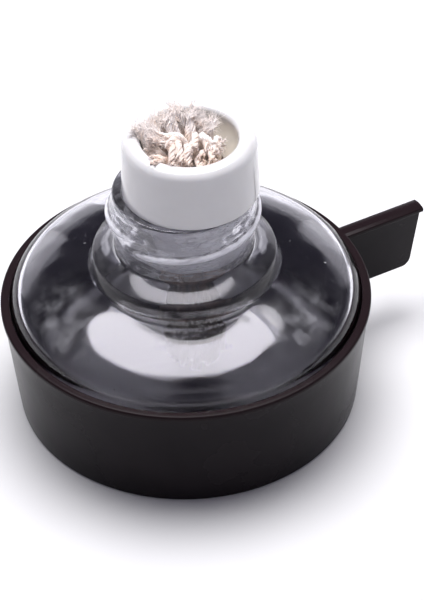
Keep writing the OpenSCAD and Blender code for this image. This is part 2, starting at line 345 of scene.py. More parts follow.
def makeCotton(look):
    material, tree, shader = newMaterial("undyedCotton")
    clouds, husks, fibre = (objectPattern(tree, *look[name]) for name in ("clouds", "husks", "fibre"))
    # painted shade: the cotton is painted darker towards the bottom
    height = axisShare(tree, "Z", *look["shadedToneHeight"])
    shadedTone = colourRamp(tree, height, look["shadedTones"])
    shade = colourRamp(tree, clouds, look["shades"])
    # Painted shade: the yarn at the front is painted darker than the fluff behind it
    depth = axisShare(tree, "Y", *look["frontShadeDepth"])
    frontShade = colourRamp(tree, depth, look["frontShades"])
    shaded = mixColours(tree, 1.0, shadedTone, shade, "MULTIPLY")
    frontShaded = mixColours(tree, 1.0, shaded, frontShade, "MULTIPLY")
    huskShare = valueRange(tree, husks, *look["huskShare"])
    setInputs(tree, shader, {
        "Base Color": mixColours(tree, huskShare, frontShaded, look["huskColour"]),
        "Normal": addBump(tree, fibre, *look["fibreBump"]),
        **look["shader"],
    })
    return material


studioFloor.data.materials.append(makeFloorMaterial(floorLook))
phenolicMoulding = makePhenolic(phenolicLook)
clearGlass = makeGlass(glassLook)
whitePorcelain = makePorcelain(porcelainLook)
undyedCotton = makeCotton(cottonLook)
print("materials made")


# Drawing by extrusion and spinning: outlines are lists of points, with a count of steps for each stretch

mergeDistance = 0.002  # points closer than this become one


def arcPoints(centre, radius, fromDeg, toDeg, steps):
    turns = [math.radians(fromDeg + (toDeg - fromDeg) * k / steps) for k in range(steps + 1)]
    return [(centre[0] + radius * math.cos(t), centre[1] + radius * math.sin(t)) for t in turns]


def linePoints(start, end, steps):
    # Only the points between the two ends
    return [tuple(a + (b - a) * k / steps for a, b in zip(start, end)) for k in range(1, steps)]


def startVertex(name, point):
    bpy.ops.object.select_all(action="DESELECT")
    bpy.ops.mesh.primitive_plane_add(size=mm)
    piece = bpy.context.object
    piece.name = name
    piece.data.name = name
    bpy.ops.object.mode_set(mode="EDIT")
    bpy.ops.mesh.select_all(action="SELECT")
    bpy.ops.mesh.merge(type="CENTER")
    bpy.ops.transform.translate(value=point)
    return piece


def drawOutline(points):
    for here, there in zip(points, points[1:]):
        bpy.ops.mesh.extrude_vertices_move(TRANSFORM_OT_translate={"value": Vector(there) - Vector(here)})


def closeMesh():
    bpy.ops.mesh.select_all(action="SELECT")
    bpy.ops.mesh.remove_doubles(threshold=mergeDistance * mm)
    bpy.ops.mesh.normals_make_consistent(inside=False)
    bpy.ops.object.mode_set(mode="OBJECT")


def spinProfile(name, profile, steps, smoothAngle):
    points = [Vector((r, 0.0, z)) * mm for r, z in profile]
    piece = startVertex(name, points[0])
    drawOutline(points)
    bpy.ops.mesh.select_all(action="SELECT")
    bpy.ops.mesh.spin(steps=steps, angle=2 * math.pi, center=(0, 0, 0), axis=(0, 0, 1))
    closeMesh()
    bpy.ops.object.shade_smooth_by_angle(angle=math.radians(smoothAngle))
    return piece


def extrudeOutline(name, points, depth):
    points = [Vector(p) * mm for p in points]
    piece = startVertex(name, points[0])
    drawOutline(points)
    bpy.ops.mesh.select_all(action="SELECT")
    bpy.ops.mesh.edge_face_add()
    bpy.ops.mesh.extrude_region_move(TRANSFORM_OT_translate={"value": Vector(depth) * mm})
    closeMesh()
    return piece


def applyModifier(piece, kind, **values):
    bpy.ops.object.select_all(action="DESELECT")
    piece.select_set(True)
    bpy.context.view_layer.objects.active = piece
    modifier = piece.modifiers.new(kind.lower(), kind)
    for name, value in values.items():
        setattr(modifier, name, value)
    bpy.ops.object.modifier_apply(modifier=modifier.name)


def combine(piece, other, operation):
    applyModifier(piece, "BOOLEAN", object=other, operation=operation, solver="MANIFOLD")
    bpy.data.objects.remove(other)


def dress(piece, material, slotName, body, *nodes):
    piece.data.materials.clear()
    piece.data.materials.append(material)
    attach(piece, body)
    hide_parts(*nodes)


# Cup with its tab handle

cupForm = {
    "rimRadius": 40.0, "height": 26.4, "footRadius": 37.5, "wall": 1.7, "floor": 2.6,
    "lipHeight": 1.2, "lipProud": 0.3, "lipRound": 0.14, "rimRound": 0.5, "footRound": 0.6,
    "innerFillet": 2.0, "spinSteps": 240, "spinSmooth": 30.0,
    # handle; the underside's rounds are a share of the flange's
    "handleAngle": 27.5, "handleReach": 20.0, "flangeWidth": 3.8, "flangeThick": 1.3, "flangeCrown": 0.4,
    "flangeRound": 0.25, "underShare": 0.6, "webThick": 2.3, "webHeight": 14.7, "webSetback": 0.4,
    "webLean": 9.0, "webCorner": 2.2, "webFillet": 0.5,
    "edgeBevel": 0.18, "bevelSegments": 3, "bevelAngle": 40.0, "handleSmooth": 32.0,
    # where the handle's section starts, and how far the raw blanks stand past the finished shape
    "sectionStart": 30.0, "tipSpare": 2.0, "sideSpare": 1.0, "topSpare": 0.5, "lowSpare": 1.0,
}


def cupWallRadius(form, z):
    top = form["rimRadius"] - form["lipProud"]
    return form["footRadius"] + (top - form["footRadius"]) * z / form["height"]


def cupDraft(form):
    # Lean of the cup's wall
    spread = form["rimRadius"] - form["lipProud"] - form["footRadius"]
    return math.degrees(math.atan(spread / form["height"]))


def cupProfile(form):
    height, rim, wall = form["height"], form["rimRadius"], form["wall"]
    lipLow = height - form["lipHeight"]
    foot, edge, lip = form["footRound"], form["rimRound"], form["lipRound"]
    innerTop = cupWallRadius(form, height) - wall
    filletHeight = form["floor"] + form["innerFillet"]
    filletCentre = (cupWallRadius(form, filletHeight) - wall - form["innerFillet"], filletHeight)
    underLip = cupWallRadius(form, lipLow)
    return (
        [(0.0, 0.0)] + linePoints((0.0, 0.0), (form["footRadius"] - foot, 0.0), 4)
        + arcPoints((form["footRadius"] - foot, foot), foot, -90, -cupDraft(form), 6)
        + linePoints((cupWallRadius(form, foot), foot), (underLip, lipLow), 6)
        + arcPoints((underLip + lip, lipLow - lip), lip, 180, 90, 4)
        + arcPoints((rim - lip, lipLow + lip), lip, -90, 0, 4)
        + arcPoints((rim - edge, height - edge), edge, 0, 90, 6)
        + arcPoints((innerTop + edge, height - edge), edge, 90, 180, 6)
        + linePoints((innerTop, height - edge), (cupWallRadius(form, filletHeight) - wall, filletHeight), 6)
        + arcPoints(filletCentre, form["innerFillet"], 0, -90, 6)
        + linePoints((filletCentre[0], form["floor"]), (0.0, form["floor"]), 4)
        + [(0.0, form["floor"])]
    )


def handleSection(form):
    # Outline across the handle, as (side, height), round the crowned flange and the web
    halfWidth, crown, edge = form["flangeWidth"] / 2, form["flangeCrown"], form["flangeRound"]
    top, under = form["height"], form["height"] - form["flangeThick"]
    crownRadius = (halfWidth ** 2 + crown ** 2) / (2 * crown)
    turn = math.degrees(math.asin((halfWidth - edge) / crownRadius))
    halfWeb, fillet = form["webThick"] / 2, form["webFillet"]
    low = under - form["webHeight"] - form["lowSpare"]
    small = edge * form["underShare"]
    sideTop = top - crown - small
    return (
        arcPoints((0.0, top - crownRadius), crownRadius, 90 - turn, 90 + turn, 10)
        + arcPoints((-halfWidth + edge, sideTop), edge, 120, 180, 3)
        + arcPoints((-halfWidth + small, under + small), small, 180, 270, 3)
        + arcPoints((-halfWeb - fillet, under - fillet), fillet, 90, 0, 5)
        + [(-halfWeb, low), (halfWeb, low)]
        + arcPoints((halfWeb + fillet, under - fillet), fillet, 180, 90, 5)
        + arcPoints((halfWidth - small, under + small), small, 270, 360, 3)
        + arcPoints((halfWidth - edge, sideTop), edge, 0, 60, 3)
    )


def handleSide(form):
    # Outline along the handle, as (distance from the axis, height)
    tip = form["rimRadius"] + form["handleReach"]
    under = form["height"] - form["flangeThick"]
    low = under - form["webHeight"]
    top = form["height"] + form["topSpare"]
    lean = math.radians(form["webLean"])
    corner, webTop = form["webCorner"], tip - form["webSetback"]
    cornerCentre = (
        webTop - (form["webHeight"] - corner) * math.tan(lean) - corner / math.cos(lean),
        low + corner,
    )
    root = form["wall"] / 2
    return (
        [(cupWallRadius(form, low) - root, low)]
        + arcPoints(cornerCentre, corner, -90, -form["webLean"], 8)
        + [(webTop, under), (tip, under), (tip, top), (cupWallRadius(form, form["height"]) - root, top)]
    )


def makeCup(form):
    cup = spinProfile("cupMoulding", cupProfile(form), form["spinSteps"], form["spinSmooth"])
    start, tip = form["sectionStart"], form["rimRadius"] + form["handleReach"]
    section = [(start, side, height) for side, height in handleSection(form)]
    tab = extrudeOutline("tabSection", section, (tip - start + form["tipSpare"], 0.0, 0.0))
    halfWidth = form["flangeWidth"] / 2 + form["sideSpare"]
    side = [(out, halfWidth, height) for out, height in handleSide(form)]
    combine(tab, extrudeOutline("tabSide", side, (0.0, -2 * halfWidth, 0.0)), "INTERSECT")
    bevelAngle, turn = math.radians(form["bevelAngle"]), -math.radians(form["handleAngle"])
    applyModifier(tab, "BEVEL", width=form["edgeBevel"] * mm, segments=form["bevelSegments"],
                  limit_method="ANGLE", angle_limit=bevelAngle, use_clamp_overlap=True)
    bpy.ops.object.mode_set(mode="EDIT")
    bpy.ops.mesh.select_all(action="SELECT")
    bpy.ops.transform.rotate(value=turn, orient_axis="Z", center_override=(0, 0, 0))
    bpy.ops.object.mode_set(mode="OBJECT")
    combine(cup, tab, "UNION")
    bpy.ops.object.shade_smooth_by_angle(angle=math.radians(form["handleSmooth"]))
    dress(cup, phenolicMoulding, "phenolic", "cup", "base_cup")
    print("cup and handle made,", len(cup.data.polygons), "faces")


makeCup(cupForm)


# Glass reservoir with its screw neck

glassForm = {
    # foot, walls, shoulder and dome
    "gap": 0.3, "wall": 2.2, "floor": 3.0, "floorRise": 1.0, "ringWidth": 6.0, "heel": 4.0,
    "innerHeel": 5.0, "shoulder": 5.0, "shoulderDrop": 0.2, "shoulderSlope": 31.0, "domeSlope": 6.0,
    # bead
    "beadRadius": 20.65, "beadHeight": 5.1, "beadRound": 0.6, "skirtSlopes": (21.0, 28.0),
    "edgeSlope": 70.0,
    # neck and its bore
    "neckRadius": 14.8, "neckWall": 2.4, "neckHeight": 13.7, "neckRoot": 2.4, "neckSwell": 1.1,
    "neckFillet": 0.7, "mouthRound": 0.6, "flareRise": 1.0, "flareReach": 9.0, "flarePull": 0.45,
    "rowHeight": 0.2, "spinSteps": 256, "spinSmooth": 35.0,
    # screw thread
    "threadStarts": 2, "threadLead": 6.4, "threadTurns": 0.56, "threadStart": -138.0, "threadBase": 46.7,
    "threadHeight": 0.6, "threadAbove": 1.15, "threadBelow": 1.35, "threadThin": 0.35, "threadCrown": 1.2,
    "threadFadeIn": 0.05, "threadFadeOut": 0.12, "threadRoom": 0.6,
    # waves of the pressed glass: size, and the share of a wave by which the surface sinks
    "innerWave": (0.05, 0.4), "outerWave": (0.012, 0.4), "boreWave": (0.18, 0.6), "neckWave": (0.06, 0.3),
    # noise: changes round the piece and up each millimetre of it, and where it starts
    "driftNoise": (3.1, 0.11), "fineNoise": (8.0, 0.2), "fineShare": 0.5, "fineReach": 0.12,
    "rippleNoise": (5.0, 0.55, 4.0), "sparkleNoise": (31.0, 1.7), "sparkle": (0.75, 0.9),
    # mould's parting line
    "seamAngle": -52.0, "seamDip": 0.08, "seamWidth": 1.2, "seamHeight": 28.0,
    # haze and roughness of the surface
    "haze": 0.001, "hazeHeight": 25.0, "beadHaze": 0.03, "beadRough": 0.03, "beadFade": 2.0,
    "neckHaze": 0.22, "threadHaze": 1.0, "threadHazeFrom": 0.2, "threadHazeFade": 0.5, "threadRough": 0.4,
    # wiping marks
    "hazeBands": [(216.0, 17.0, 0.16), (322.0, 15.0, 0.16)],  # azimuth, width and share
    "hazeStreaks": [(0.9, 0.16, 0.35, 3.0), (0.5, 0.55, 0.22, 9.0)],  # share, noise scales and layer
    "streakBase": 0.5, "hazeStart": (22.0, 5.0), "hazeEnd": (37.0, 4.0),  # radius and fade
    # painted shade on the floor and along the bead's edge
    "floorRough": 0.25, "floorPaintedShade": 0.5, "floorFrom": 5.0, "floorFade": 7.0,
    "edgePaintedShade": 0.96, "edgePaintedShadeVary": 0.1, "edgePaintedShadeWidth": 1.3, "edgePaintedShadeFade": 0.5,
    # places that tell the surfaces apart
    "axisReach": 0.01, "near": 0.02, "creaseRoom": 0.1, "hollowHeight": 20.0, "domeReach": 34.0,
}


def downhill(centre, radius, slope):
    # The point of a round where its surface has this slope
    turn = math.radians(slope)
    return (centre[0] + radius * math.sin(turn), centre[1] + radius * math.cos(turn))


def easeCurve(a, b, c, d, steps):
    points = []
    for k in range(steps + 1):
        u = k / steps
        weights = ((1 - u) ** 3, 3 * (1 - u) ** 2 * u, 3 * (1 - u) * u * u, u ** 3)
        points.append(tuple(sum(w * p[axis] for w, p in zip(weights, (a, b, c, d))) for axis in (0, 1)))
    return points


def beadProfile(form, crease):
    # A steep edge, its round, the slightly crowned skirt and the fillet to the neck
    slopes = (*form["skirtSlopes"], form["edgeSlope"])
    (flatSin, lowSin, edgeSin), (flatCos, lowCos, edgeCos) = (
        [turn(math.radians(slope)) for slope in slopes] for turn in (math.sin, math.cos))
    bead, neck, edge, fillet = form["beadRadius"], form["neckRadius"], form["beadRound"], form["neckFillet"]
    filletCentre = (neck + fillet, crease + form["beadHeight"] + fillet)
    skirtTop = downhill(filletCentre, -fillet, slopes[0])
    # The skirt's radius follows from the edge running down to the crease
    rise = edgeSin / edgeCos
    edgeRun = bead - skirtTop[0] + edge * (lowSin - edgeSin)
    drop = skirtTop[1] - crease - edge * (lowCos - edgeCos) - rise * edgeRun
    skirt = drop / (flatCos - lowCos - rise * (lowSin - flatSin))
    skirtCentre = downhill(skirtTop, -skirt, slopes[0])
    edgeCentre = downhill(downhill(skirtCentre, skirt, slopes[1]), -edge, slopes[1])
    edgeLow = downhill(edgeCentre, edge, slopes[2])
    return (
        [(bead, crease)] + linePoints((bead, crease), edgeLow, 4)
        + arcPoints(edgeCentre, edge, 90 - slopes[2], 90 - slopes[1], 6)
        + arcPoints(skirtCentre, skirt, 90 - slopes[1], 90 - slopes[0], 14)
        + arcPoints(filletCentre, fillet, 270 - slopes[0], 180, 6)
    )


def glassProfile(form, cup):
    draft = cupDraft(cup)
    lean, wall = math.cos(math.radians(draft)), form["wall"]
    base, floorTop = cup["floor"], cup["floor"] + form["floor"]

    def outerRadius(z):
        return cupWallRadius(cup, z) - cup["wall"] - form["gap"]

    def innerRadius(z):
        return outerRadius(z) - wall / lean

    # Foot
    heelHeight = base + form["heel"]
    heelCentre = (outerRadius(heelHeight) - form["heel"] / lean, heelHeight)
    ring = heelCentre[0] - form["ringWidth"]
    innerHeelHeight = floorTop + form["innerHeel"]
    innerHeelCentre = (innerRadius(innerHeelHeight) - form["innerHeel"] / lean, innerHeelHeight)
    # Walls, shoulder and dome
    steep, slight = form["shoulderSlope"], form["domeSlope"]
    shoulderHeight = cup["height"] - form["shoulderDrop"]
    outerWall = [(outerRadius(z), z) for z in (heelHeight, shoulderHeight)]
    innerWall = [(innerRadius(z), z) for z in (shoulderHeight, innerHeelHeight)]
    shoulderCentre = (outerRadius(shoulderHeight) - form["shoulder"] / lean, shoulderHeight)
    shoulderEnd = downhill(shoulderCentre, form["shoulder"], steep)
    bead, neck = form["beadRadius"], form["neckRadius"]
    dome = (shoulderEnd[0] - bead) / (math.sin(math.radians(steep)) - math.sin(math.radians(slight)))
    domeCentre = downhill(shoulderEnd, -dome, steep)
    crease = downhill(domeCentre, dome, slight)[1]
    # Neck, and the flare of its bore to the inside of the dome
    beadTop = crease + form["beadHeight"]
    mouth = beadTop + form["neckHeight"]
    bore = neck - form["neckWall"]
    flareSlope = math.degrees(math.asin((bore + form["flareReach"] - domeCentre[0]) / (dome - wall)))
    flareEnd = downhill(domeCentre, dome - wall, flareSlope)
    flareTop = (bore, beadTop + form["flareRise"])
    pull = (flareTop[1] - flareEnd[1]) * form["flarePull"]
    flareLead = (flareEnd[0] - pull * math.cos(math.radians(flareSlope)),
                 flareEnd[1] + pull * math.sin(math.radians(flareSlope)))
    edge = form["mouthRound"]
    swellLow, swellHigh = beadTop + form["neckRoot"], mouth - edge
    rows = int((swellHigh - swellLow) / form["rowHeight"])
    swelling = []
    for k in range(rows):
        swell = form["neckSwell"] * (1 - math.cos(2 * math.pi * k / rows)) / 2
        swelling.append((neck + swell, swellLow + (swellHigh - swellLow) * k / rows))

    def floorCurve(height, shares):
        return [(ring * u, height + form["floorRise"] * (1 + math.cos(math.pi * u)) / 2) for u in shares]

    shares = [k / 10 for k in range(11)]
    profile = (
        floorCurve(base, shares)
        + linePoints((ring, base), (heelCentre[0], base), 3)
        + arcPoints(heelCentre, form["heel"], -90, -draft, 10)
        + linePoints(*outerWall, 8)
        + arcPoints(shoulderCentre, form["shoulder"], -draft, 90 - steep, 18)
        + arcPoints(domeCentre, dome, 90 - steep, 90 - slight, 24)
        + beadProfile(form, crease)
        + linePoints((neck, beadTop + form["neckFillet"]), (neck, swellLow), 6)
        + swelling
        + arcPoints((neck - edge, mouth - edge), edge, 0, 90, 6)
        + arcPoints((bore + edge, mouth - edge), edge, 90, 180, 6)
        + linePoints((bore, mouth - edge), flareTop, 20)
        + easeCurve(flareTop, (flareTop[0], flareTop[1] - pull), flareLead, flareEnd, 24)
        + arcPoints(domeCentre, dome - wall, 90 - flareSlope, 90 - steep, 16)
        + arcPoints(shoulderCentre, form["shoulder"] - wall, 90 - steep, -draft, 14)
        + linePoints(*innerWall, 8)
        + arcPoints(innerHeelCentre, form["innerHeel"], -draft, -90, 10)
        + linePoints((innerHeelCentre[0], floorTop), (ring, floorTop), 3)
        + floorCurve(floorTop, reversed(shares))
    )
    return profile, swellLow, mouth


def smoothStep(u):
    u = min(1.0, max(0.0, u))
    return u * u * (3 - 2 * u)


def angleOff(azimuth, middle):
    return (azimuth - middle + 180.0) % 360.0 - 180.0


def waveAt(out, z, turns, rise, start=0.0):
    # Smooth noise round the axis
    return noise.noise(Vector((out.x * turns, out.y * turns, z * rise + start)))


def waved(wave, value):
    size, sink = wave
    return (value - sink) * size


def threadRise(form, azimuth, z):
    # Share of its full height that the screw thread has at this place
    rise = 0.0
    for start in range(form["threadStarts"]):
        begin = form["threadStart"] + 360.0 * start / form["threadStarts"]
        turn = ((azimuth - begin) % 360.0) / 360.0
        if turn > form["threadTurns"]:
            continue
        fade = smoothStep(turn / form["threadFadeIn"])
        fade *= smoothStep((form["threadTurns"] - turn) / form["threadFadeOut"])
        off = z - form["threadBase"] - form["threadLead"] * turn
        width = form["threadAbove"] if off > 0 else form["threadBelow"]
        width *= form["threadThin"] + (1 - form["threadThin"]) * fade
        share = max(0.0, 1 - (off / width) ** 2)
        rise = max(rise, fade * share ** form["threadCrown"])
    return rise


def hazeAt(form, azimuth, radius):
    # Wiping marks on the dome: two soft streaked bands beside the front
    (start, startFade), (end, endFade) = form["hazeStart"], form["hazeEnd"]
    reach = smoothStep((radius - start) / startFade) * smoothStep((end - radius) / endFade)
    haze = form["haze"]
    for middle, width, share in form["hazeBands"]:
        off = angleOff(azimuth, middle)
        streaks = form["streakBase"]
        for strength, perDegree, perMillimetre, layer in form["hazeStreaks"]:
            streaks += strength * noise.noise(Vector((off * perDegree, radius * perMillimetre, layer)))
        haze += share * reach * max(0.0, streaks) * math.exp(-(off / width) ** 2)
    return haze


def seamDip(form, azimuth, radius):
    # The mould's parting line: the glass falls away on one side of it and comes back gently
    dip = 0.0
    for side in (0.0, 180.0):
        off = angleOff(azimuth - form["seamAngle"], side)
        along = math.radians(off) * radius / form["seamWidth"]
        if along > 0:
            dip += form["seamDip"] * along * math.exp(1 - along)
    return dip


def shapeGlass(glass, form, neckLow, mouth):
    # The thread is raised out of the neck, the pressed walls get their slight waves,
    # and each point gets its shares of roughness, haze and painted shade
    hollow = Vector((0.0, 0.0, form["hollowHeight"]))
    beadTop = neckLow - form["neckRoot"]
    beadLow = beadTop - form["beadHeight"]
    normals = [v.normal.copy() for v in glass.data.vertices]
    rough, haze, paintedShade = ([0.0] * len(normals) for share in range(3))
    for vertex, normal in zip(glass.data.vertices, normals):
        index, place = vertex.index, vertex.co / mm
        radius = math.hypot(place.x, place.y)
        # painted shade: the glass's floor is darkened where it stands in the bottom of the cup
        floorShare = 1 - smoothStep((place.z - form["floorFrom"]) / form["floorFade"])
        rough[index] = form["floorRough"] * floorShare
        paintedShade[index] = form["floorPaintedShade"] * floorShare
        if radius < form["axisReach"]:
            continue
        out = Vector((place.x / radius, place.y / radius, 0.0))
        azimuth = math.degrees(math.atan2(place.y, place.x))
        drift = waveAt(out, place.z, *form["driftNoise"])
        drift += form["fineShare"] * waveAt(out, place.z, *form["fineNoise"], radius * form["fineReach"])
        ripple = waveAt(out, place.z, *form["rippleNoise"])
        if radius > form["neckRadius"] - form["near"] and beadTop + form["threadRoom"] < place.z < mouth:
            share = threadRise(form, azimuth, place.z)
            rough[index] = form["threadRough"] * share
            base, vary = form["sparkle"]
            sparkle = base + vary * waveAt(out, place.z, *form["sparkleNoise"])
            raised = smoothStep((share - form["threadHazeFrom"]) / form["threadHazeFade"])
            haze[index] = form["neckHaze"] + form["threadHaze"] * raised * sparkle
            vertex.co += out * (share * form["threadHeight"] + waved(form["neckWave"], ripple)) * mm
            continue
        inner = normal.dot(place - hollow) < 0
        if inner and place.z > beadTop:
            vertex.co += normal * waved(form["boreWave"], ripple) * mm
        elif inner:
            vertex.co += normal * waved(form["innerWave"], drift) * mm
        elif place.z > beadLow + form["creaseRoom"] and radius < form["beadRadius"] + form["near"]:
            share = smoothStep((place.z - beadLow) / form["beadFade"])
            haze[index] = form["haze"] + form["beadHaze"] * share
            rough[index] = form["beadRough"] * share
            # painted shade: a dark ring is painted along the bead's edge
            edge = smoothStep((radius - form["beadRadius"] + form["edgePaintedShadeWidth"]) / form["edgePaintedShadeFade"])
            paintedShade[index] = edge * (form["edgePaintedShade"] + form["edgePaintedShadeVary"] * ripple)
        elif place.z > form["hazeHeight"]:
            haze[index] = hazeAt(form, azimuth, radius)
            if radius < form["domeReach"]:
                vertex.co += normal * waved(form["outerWave"], drift) * mm
        if not inner and place.z > form["seamHeight"]:
            vertex.co -= normal * seamDip(form, azimuth, radius) * mm
    for name, values in (("roughShare", rough), ("hazeShare", haze), ("paintedShadeShare", paintedShade)):
        glass.data.attributes.new(name, "FLOAT", "POINT").data.foreach_set("value", values)


glassOutline, neckLow, mouthHeight = glassProfile(glassForm, cupForm)


def makeReservoir(form):
    glass = spinProfile("glassReservoir", glassOutline, form["spinSteps"], form["spinSmooth"])
    shapeGlass(glass, form, neckLow, mouthHeight)
    dress(glass, clearGlass, "glass", "glass", "reservoir")
    print("reservoir made,", len(glass.data.polygons), "faces")


makeReservoir(glassForm)


# Porcelain wick holder

holderForm = {
    "shift": 1.7, "mouth": mouthHeight,
    "plugRadius": 10.2, "plugLength": 14.0, "plugChamfer": 0.8, "plugFillet": 0.3, "boreRadius": 7.09,
    "collarRadius": 14.45, "collarHeight": 13.6, "collarTaper": 0.4, "topRound": 2.3, "lowRound": 0.5,
    "bowlWall": 4.0, "lipRound": 1.2, "bowlDepth": 6.0, "bowlRows": 16,
    "spinSteps": 200, "spinSmooth": 35.0,
    # stain in the bowl, and the slight unevenness of the collar
    "stainRadius": 11.0, "stainRise": 0.9, "stainFade": 2.5,
    "wobble": (0.05, 0.5), "wobbleNoise": (1.6, 0.09), "wobbleRadius": 13.0,
}


def bowlLip(form):
    # Height at which the bowl's lip starts to turn outwards
    return form["mouth"] + form["collarHeight"] - form["lipRound"]


def bowlWidth(form):
    # Radius of the bowl under its lip
    return form["collarRadius"] - form["collarTaper"] - form["bowlWall"]


def bowlRadius(form, z):
    # Free radius of the bore and bowl at a height
    lip = bowlLip(form)
    share = min(1.0, max(0.0, (z - lip + form["bowlDepth"]) / form["bowlDepth"]))
    wide = form["boreRadius"] + (bowlWidth(form) - form["boreRadius"]) * math.sin(share * math.pi / 2)
    above = min(max(0.0, z - lip), form["lipRound"])
    return wide + form["lipRound"] - math.sqrt(form["lipRound"] ** 2 - above ** 2)


def holderProfile(form):
    mouth, plug, chamfer, bore = form["mouth"], form["plugRadius"], form["plugChamfer"], form["boreRadius"]
    low, collar, fillet = mouth - form["plugLength"], form["collarRadius"], form["plugFillet"]
    top = mouth + form["collarHeight"]
    narrow = collar - form["collarTaper"]
    lip = bowlLip(form)
    bowlHeights = [lip - form["bowlDepth"] * k / form["bowlRows"] for k in range(1, form["bowlRows"] + 1)]
    return (
        [(bore + chamfer, low), (plug - chamfer, low)]
        + arcPoints((plug - chamfer, low + chamfer), chamfer, -60, 0, 3)
        + linePoints((plug, low + chamfer), (plug, mouth), 8)
        + arcPoints((plug + fillet, mouth - fillet), fillet, 180, 90, 3)
        + arcPoints((collar - form["lowRound"], mouth + form["lowRound"]), form["lowRound"], -90, 0, 5)
        + linePoints((collar, mouth + form["lowRound"]), (narrow, top - form["topRound"]), 12)
        + arcPoints((narrow - form["topRound"], top - form["topRound"]), form["topRound"], 0, 90, 12)
        + arcPoints((bowlWidth(form) + form["lipRound"], lip), form["lipRound"], 90, 180, 8)
        + [(bowlRadius(form, z), z) for z in bowlHeights]
        + linePoints((bore, lip - form["bowlDepth"]), (bore, low + chamfer), 8)
        + [(bore, low + chamfer), (bore + chamfer, low)]
    )


def makeHolder(form):
    holder = spinProfile("porcelainHolder", holderProfile(form), form["spinSteps"], form["spinSmooth"])
    stainTop = bowlLip(form) + form["stainRise"]
    stain = [0.0] * len(holder.data.vertices)
    for vertex in holder.data.vertices:
        place = vertex.co / mm
        radius = math.hypot(place.x, place.y)
        if radius < form["stainRadius"] and place.z > form["mouth"]:
            stain[vertex.index] = smoothStep((stainTop - place.z) / form["stainFade"])
        if radius < form["wobbleRadius"] or place.z < form["mouth"]:
            continue
        out = Vector((place.x / radius, place.y / radius, 0.0))
        vertex.co += out * waved(form["wobble"], waveAt(out, place.z, *form["wobbleNoise"])) * mm
    holder.data.attributes.new("bowlStain", "FLOAT", "POINT").data.foreach_set("value", stain)
    bpy.ops.object.mode_set(mode="EDIT")
    bpy.ops.mesh.select_all(action="SELECT")
    bpy.ops.transform.translate(value=(form["shift"] * mm, 0.0, 0.0))
    bpy.ops.object.mode_set(mode="OBJECT")
    dress(holder, whitePorcelain, "porcelain", "holder", "wick_holder")
    print("wick holder made,", len(holder.data.polygons), "faces")


makeHolder(holderForm)


# Cotton wick

wickForm = {
    # bundle of strands
    "strands": 19, "rings": 2, "pitch": 2.72, "strandRadius": 1.3, "play": 0.35, "lean": 1.4, "flare": 0.3,
    "tuftHeight": 2.6, "tuftFall": 1.6, "tailHeight": 7.8, "vary": 0.9, "varyTurn": 137.5, "seed": 41,
    # yarns and plies of a strand, and the length in which they turn once round
    "yarns": 3, "yarnOut": 0.70, "plies": 7, "plyPitch": 0.40, "plyRadius": 0.215, "plyClear": 0.1,
    "strandLay": 13.0, "yarnLay": 4.2, "splitRise": 1.0, "lowerSteps": 24, "upperSteps": 24,
    # turn and added length of the free tops, all round and towards the front, left and right
    "outerTurn": 30.0, "outerFront": 60.0, "outerMore": 0.6, "outerRope": 0.8,
    "innerTurn": 36.0, "innerFront": 82.0, "innerMore": 4.2, "innerRope": 1.0,
    "leftTurn": 12.0, "rightTurn": -10.0, "rightAim": 0.25,
    "centreAim": (-0.5, -0.8), "aimDrift": (-0.35, -0.05),
    "turnStray": 11.0, "aimStray": 0.4, "yarnStray": 0.3, "yarnTurnStray": 11.0,
    "yarnCut": 0.9, "cutVary": 0.25,
    # where on the top the turn begins and how long it takes, also for yarn that stays a rope
    "ropeDelay": 0.35, "turnSpan": 1.15, "ropeHaste": 0.75,
    # plies that come apart towards their cut ends
    "fray": 0.6, "frayDrift": 0.35, "frayFrom": (0.50, 0.72), "frayEnd": 1.1, "frayThin": 0.45,
    "frontHold": 0.26,
    # loose fibres past the cut ends
    "fluff": 18, "fluffLength": (0.8, 2.2), "ropeFluff": 8, "ropeFluffLength": (0.4, 1.0),
    "ropeShare": 0.5, "fluffRoot": (0.2, 0.9), "fluffSpread": 0.5,
    "fibreRadius": 0.05, "fibreTaper": 0.12, "fibreSteps": 4,
    "fibreFan": 0.5, "fibreCurl": 0.45, "curlShare": 0.6, "fibreClear": 0.15,
    # short fuzz along the plies
    "fuzz": 7, "fuzzFrom": 6, "fuzzBend": 0.5, "fuzzRoot": 0.8, "fuzzStep": 0.14, "fuzzPoints": 3,
}


def turned(flat, angle):
    cosine, sine = math.cos(angle), math.sin(angle)
    return Vector((flat.x * cosine - flat.y * sine, flat.x * sine + flat.y * cosine))


def hexHome(number, pitch):
    # Place of a strand or ply in hexagonal rings, and its ring, in the order of the numbers
    if number == 1:
        return Vector((0.0, 0.0)), 0
    ring = 1 if number <= 7 else 2
    step = number - (2 if ring == 1 else 8)
    side, along = divmod(step, ring)
    corners = [turned(Vector((1.0, 0.0)), math.radians(60 * k)) for k in (side, side + 1)]
    return (corners[0] * (1 - along / ring) + corners[1] * (along / ring)) * ring * pitch, ring


def strandVary(form, number):
    return form["vary"] * math.sin(math.radians(form["varyTurn"] * number))


def strandCentre(form, holder, number, z):
    # Middle of a strand at a height, and how much the bundle has swollen there
    home = hexHome(number, form["pitch"])[0]
    lip = bowlLip(holder)
    share = smoothStep((z - lip + holder["bowlDepth"]) / holder["bowlDepth"])
    bundle = form["rings"] * form["pitch"] + form["strandRadius"]
    swell = 1 + ((bowlWidth(holder) - form["lean"] - form["play"]) / bundle - 1) * share
    above = max(0.0, z - lip)
    place = home * swell + home / (form["rings"] * form["pitch"]) * form["flare"] * above
    return Vector((holder["shift"] + place.x - form["lean"] * share, place.y, z)), swell


